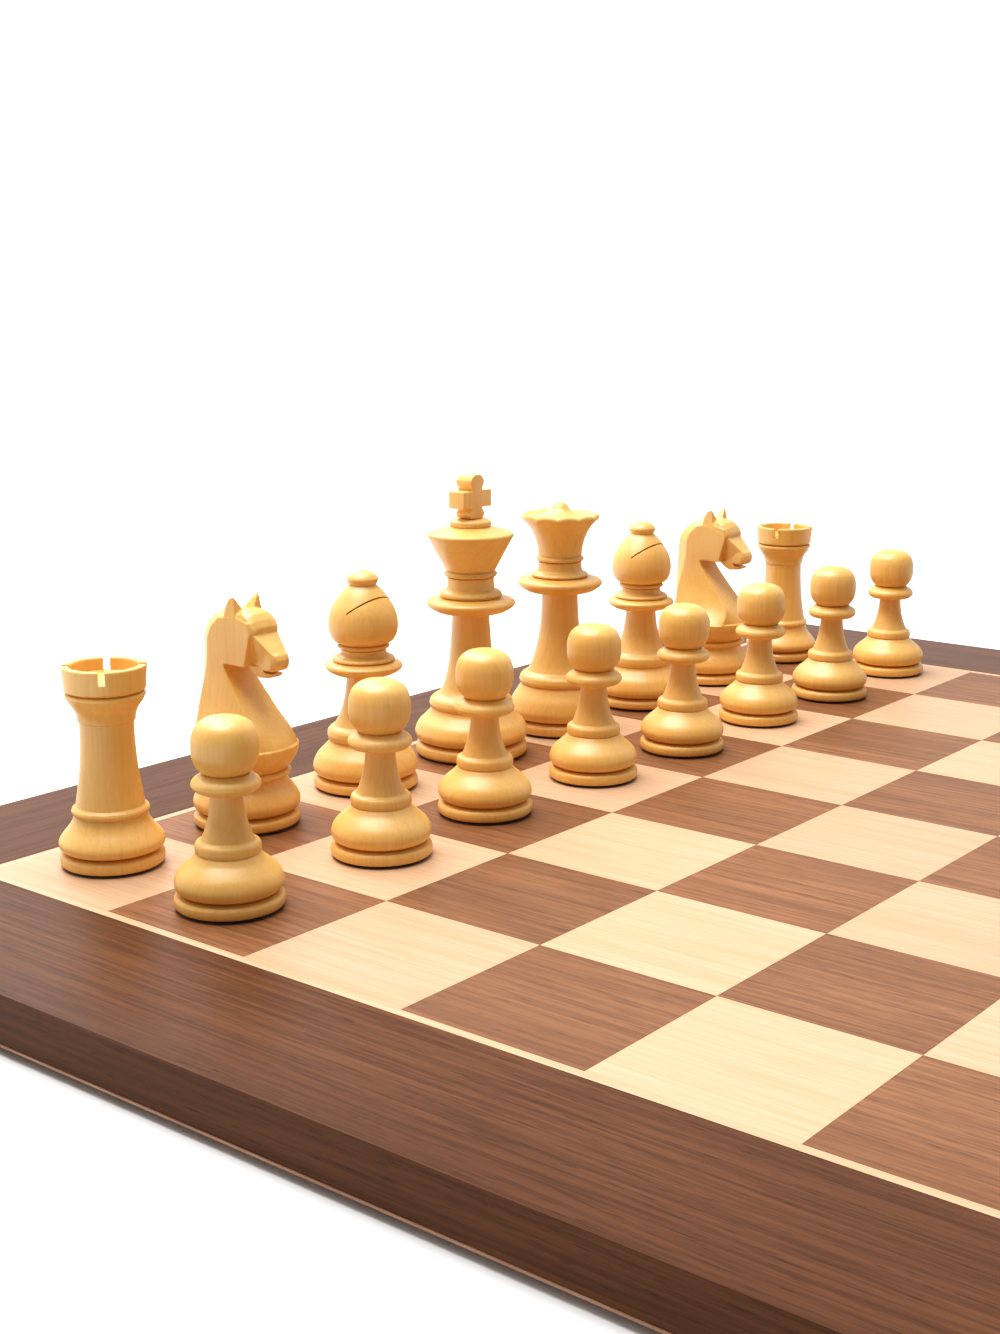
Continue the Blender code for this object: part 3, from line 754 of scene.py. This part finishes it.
def random_offset(rng, reach=0.03):
    """A place in a log three metres long, about this far off its heart."""
    angle = rng.uniform(0, math.tau)
    away = rng.uniform(0.6, 1.4) * reach
    return away * math.cos(angle), away * math.sin(angle), rng.uniform(0, 3)


def shown(name, mesh, material, body):
    mesh.materials.clear()
    mesh.materials.append(material)
    obj = bpy.data.objects.new(name, mesh)
    bpy.context.scene.collection.objects.link(obj)
    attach(obj, body)
    return obj


def stand_on(mesh, spot, turn):
    """Scales a mesh from millimetres, turns it about its axis and stands it on its square."""
    mesh.transform(Matrix.Translation(spot) @ Matrix.Rotation(turn, 4, "Z") @ Matrix.Scale(MM, 4))


def middle(node):
    """Where a man stands: the middle of its CAD node, on the playing surface."""
    low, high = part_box(node)
    return Vector(((low.x + high.x) / 2, (low.y + high.y) / 2, SURFACE))


def smooth_shaded(mesh, angle):
    """Shades a mesh smooth, but for edges that turn by more than the angle in degrees."""
    mesh.shade_smooth()
    mesh.set_sharp_from_angle(angle=math.radians(angle))
    return mesh


def make_men():
    pawn = smooth_shaded(mesh_from("pawn", *turned(PAWN)), 60)
    shapes = {
        "pawn": [("", pawn)],
        "rook": [("", smooth_shaded(rook_mesh(), 38))],
        "bishop": [("", smooth_shaded(bishop_mesh(), 38))],
        "queen": [("", smooth_shaded(queen_mesh(), 60))],
        "king": [
            ("_body", smooth_shaded(mesh_from("king", *turned(KING)), 60)),
            ("_cross", smooth_shaded(cross_mesh(), 60)),
        ],
        "knight": [
            ("_base", smooth_shaded(mesh_from("knight", *turned(KNIGHT_BASE)), 60)),
            ("_head", smooth_shaded(horse_mesh(), 50)),
        ],
    }
    pads = {kind: felt_mesh(radius) for kind, radius in FELT_RADIUS.items()}
    rng = random.Random(7)
    white_turns = {"rook_a": 12, "rook_h": 47}  # degrees, as their notches lie in the photo
    for colour, wood, slot in (("white", BOXWOOD, "boxwood"), ("black", EBONISED, "ebonised")):
        for piece in [*BACK_RANK, *[f"pawn_{letter}" for letter in FILES]]:
            kind = piece.split("_")[0]
            body = f"{colour}_{piece}"
            spot = middle(body + shapes[kind][0][0])
            turn = math.radians(white_turns.get(piece, 0) if colour == "white" else 180)
            for ending, shape in shapes[kind]:
                mesh = shape.copy()
                stand_on(mesh, spot, turn)
                place_in_log = Vector(random_offset(rng))
                give_grain(mesh, "Z", place_in_log - spot, rng.uniform(0, 1))
                made = shown(f"{body}{ending}_wood", mesh, wood, body)
                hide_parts(body + ending)
            pad = pads[kind].copy()
            stand_on(pad, spot, turn)
            shown(f"{body}_felt", pad, FELT, body)


def add_slab(bm, corners, low, high):
    """Adds a closed slab on the given corners, and returns its vertices."""
    bottom = [bm.verts.new((x, y, low)) for x, y in corners]
    top = [bm.verts.new((x, y, high)) for x, y in corners]
    bm.faces.new(bottom[::-1])
    bm.faces.new(top)
    for index in range(len(corners)):
        after = (index + 1) % len(corners)
        bm.faces.new((bottom[index], bottom[after], top[after], top[index]))
    return bottom + top


def make_squares(name, parity, material, rng):
    """All the squares of one colour, each a leaf of veneer with its own grain and tone."""
    half = BORDER_INNER - STRINGING_WIDTH - CAD_GAP / 2
    size = 2 * half / len(FILES)
    bm = bmesh.new()
    origins = []
    tones = []
    for file_index in range(len(FILES)):
        for rank_index in range(len(FILES)):
            if (file_index + rank_index) % 2 != parity:
                continue
            x, y = file_index * size - half, rank_index * size - half
            left, right = x + VENEER_JOINT, x + size - VENEER_JOINT
            near, far = y + VENEER_JOINT, y + size - VENEER_JOINT
            corners = [(left, near), (right, near), (right, far), (left, far)]
            made = add_slab(bm, corners, VENEER_LOW, SURFACE)
            origins.extend([random_offset(rng, 0.04)] * len(made))
            tones.extend([rng.uniform(0, 1)] * len(made))
    mesh = mesh_of(bm, name)
    give_grain(mesh, "Y", (0, 0, 0), 0)
    flat = np.empty(len(mesh.vertices) * 3, dtype=np.float32)
    mesh.attributes["grain"].data.foreach_get("vector", flat)
    wood = flat + np.array(origins, dtype=np.float32).ravel()
    mesh.attributes["grain"].data.foreach_set("vector", wood)
    mesh.attributes["tone"].data.foreach_set("value", np.array(tones, dtype=np.float32))
    return shown(name, mesh, material, "board")


def frame_side(name, inner, outer, low, high, turn, material, offset, tone):
    """One mitred side of a frame, its grain along its length, turned into place about the centre."""
    bm = bmesh.new()
    add_slab(bm, [(-inner, inner), (inner, inner), (outer, outer), (-outer, outer)][::-1], low, high)
    bmesh.ops.recalc_face_normals(bm, faces=bm.faces[:])
    mesh = mesh_of(bm, name)
    give_grain(mesh, "X", offset, tone)
    mesh.transform(Matrix.Rotation(turn * math.pi / 2, 4, "Z"))
    return shown(name, mesh, material, "board")


def make_board():
    rng = random.Random(21)
    walnut_squares = make_squares("walnut_squares", 0, WALNUT, rng)
    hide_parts("playing_field")
    make_squares("maple_squares", 1, MAPLE, rng)
    stringing_inner = STRINGING_INNER - CAD_GAP / 2
    border_inner = BORDER_INNER - CAD_GAP / 2
    lipping_inner = BOARD_HALF - LIPPING_WIDTH
    lipping_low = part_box("lipping_black")[0].z - CAD_GAP
    lipping_high = VENEER_LOW - VENEER_JOINT / 2
    for turn, side in enumerate(("black", "a_file", "white", "h_file")):
        line = frame_side(
            f"stringing_{side}_maple", stringing_inner, border_inner, VENEER_LOW, SURFACE, turn,
            MAPLE, random_offset(rng, 0.04), 0.6,
        )
        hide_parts(f"stringing_{side}")
        edge = frame_side(
            f"border_{side}_walnut", border_inner, BOARD_HALF - EDGE_EASING, VENEER_LOW, SURFACE, turn,
            BORDER_WALNUT, random_offset(rng, 0.06), 0.35 + 0.4 * rng.random(),
        )
        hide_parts(f"border_{side}")
        lip = frame_side(
            f"lipping_{side}_walnut", lipping_inner, BOARD_HALF - LIPPING_SETBACK, lipping_low,
            lipping_high, turn, BORDER_WALNUT, random_offset(rng, 0.06), 0.3,
        )
        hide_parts(f"lipping_{side}")


def dress_cad_nodes():
    """Materials of the CAD nodes that stay: the core, the backing and the feet."""
    backing = solid_wood(
        "backing_walnut", (0.40, 0.225, 0.135), (0.30, 0.155, 0.088), (0.20, 0.095, 0.052),
        roughness=0.5, specular=0.5, vector=Nodes.object_space,
    )
    finishes = {"board_core": CORE, "backing_veneer": backing}
    finishes.update({f"foot_{letter}{rank}": FELT for letter in "ah" for rank in "18"})
    for node, material in finishes.items():
        obj = bpy.data.objects[node]
        for index in range(len(obj.material_slots)):
            obj.material_slots[index].link = "OBJECT"
            obj.material_slots[index].material = material


# ---------------------------------------------------------------- stage
# The studio's bright wall lies this way from the set, and the walls dim towards the opposite side.
BACKDROP = (-0.6, -0.75, 0.45)
DIM_WALL = 0.25
BRIGHT_WALL = 0.98
# Cosines of the angle from that way, at which the walls are at their dimmest and their brightest
WALL_FADE = (-0.5, 0.9)
FLOOR_HALF = 60
FLOOR_DROP = 0.0002
# Distances from the middle between which the floor turns into a white glow
FLOOR_FADE = (0.5, 1.6)
CAMERA_PLACE = (0.4735, 0.1996, SURFACE + 0.1573)
CAMERA_FORWARD = (-0.75957, -0.61475, -0.21245)
CAMERA_UP = (-0.16613, -0.13243, 0.97717)


def make_floor():
    """A pale floor that melts into the white of the studio a metre or two away."""
    bm = bmesh.new()
    bmesh.ops.create_grid(bm, x_segments=1, y_segments=1, size=FLOOR_HALF)
    floor = bpy.data.objects.new("floor", mesh_of(bm, "floor"))
    bpy.context.scene.collection.objects.link(floor)
    n = Nodes("floor")
    n.shader.inputs["Base Color"].default_value = (0.92, 0.92, 0.92, 1)
    n.shader.inputs["Roughness"].default_value = 0.7
    distance = n.node("ShaderNodeVectorMath", operation="LENGTH")
    n.tree.links.new(n.object_space(), distance.inputs[0])
    far = n.node("ShaderNodeMapRange", interpolation_type="SMOOTHSTEP")
    far.inputs["From Min"].default_value = FLOOR_FADE[0]
    far.inputs["From Max"].default_value = FLOOR_FADE[1]
    n.tree.links.new(distance.outputs["Value"], far.inputs["Value"])
    glow = n.node("ShaderNodeEmission")
    mix = n.node("ShaderNodeMixShader")
    n.tree.links.new(far.outputs["Result"], mix.inputs[0])
    n.tree.links.new(n.shader.outputs[0], mix.inputs[1])
    n.tree.links.new(glow.outputs[0], mix.inputs[2])
    n.tree.links.new(mix.outputs[0], n.tree.nodes["Material Output"].inputs["Surface"])
    floor.data.materials.append(n.material)
    floor.location.z = -FLOOR_DROP


def make_light(name, place, target, size, power):
    data = bpy.data.lights.new(name, "AREA")
    data.shape = "DISK"
    data.size = size
    data.energy = power
    light = bpy.data.objects.new(name, data)
    light.location = place
    light.rotation_euler = (Vector(target) - Vector(place)).to_track_quat("-Z", "Y").to_euler()
    bpy.context.scene.collection.objects.link(light)


def make_lights():
    """High-key studio: walls that light the set from behind, a key lamp beyond it and one overhead."""
    world = bpy.data.worlds.new("studio")
    world.use_nodes = True
    tree = world.node_tree
    walls = tree.nodes["Background"]
    walls.inputs["Color"].default_value = (1, 1, 1, 1)
    facing = tree.nodes.new("ShaderNodeVectorMath")
    facing.operation = "DOT_PRODUCT"
    facing.inputs[1].default_value = Vector(BACKDROP).normalized()
    tree.links.new(tree.nodes.new("ShaderNodeTexCoord").outputs["Generated"], facing.inputs[0])
    spread = tree.nodes.new("ShaderNodeMapRange")
    spread.interpolation_type = "SMOOTHSTEP"
    spread.inputs["From Min"].default_value = WALL_FADE[0]
    spread.inputs["From Max"].default_value = WALL_FADE[1]
    spread.inputs["To Min"].default_value = DIM_WALL
    spread.inputs["To Max"].default_value = BRIGHT_WALL
    tree.links.new(facing.outputs["Value"], spread.inputs["Value"])
    seen = tree.nodes.new("ShaderNodeMix")
    seen.data_type = "FLOAT"
    tree.links.new(tree.nodes.new("ShaderNodeLightPath").outputs["Is Camera Ray"], seen.inputs["Factor"])
    tree.links.new(spread.outputs["Result"], seen.inputs["A"])
    seen.inputs["B"].default_value = 1.0
    tree.links.new(seen.outputs["Result"], walls.inputs["Strength"])
    bpy.context.scene.world = world
    make_light("key", (-0.4, -1.4, 1.2), target=(0, -0.12, 0.03), size=1.0, power=11)
    make_light("top", (0.15, -0.3, 1.0), target=(0, -0.15, 0), size=0.8, power=12)


def make_camera():
    data = bpy.data.cameras.new("camera")
    data.lens = 48.5
    data.sensor_width = 36
    data.clip_start = 0.01
    camera = bpy.data.objects.new("camera", data)
    forward = Vector(CAMERA_FORWARD).normalized()
    right = forward.cross(Vector(CAMERA_UP)).normalized()
    turn = Matrix((right, right.cross(forward), -forward)).transposed().to_4x4()
    camera.matrix_world = Matrix.Translation(CAMERA_PLACE) @ turn
    bpy.context.scene.collection.objects.link(camera)
    bpy.context.scene.camera = camera


make_men()
make_board()
dress_cad_nodes()
make_floor()
make_lights()
make_camera()
bpy.context.scene.view_settings.view_transform = "Standard"
bpy.context.scene.view_settings.look = "Medium High Contrast"
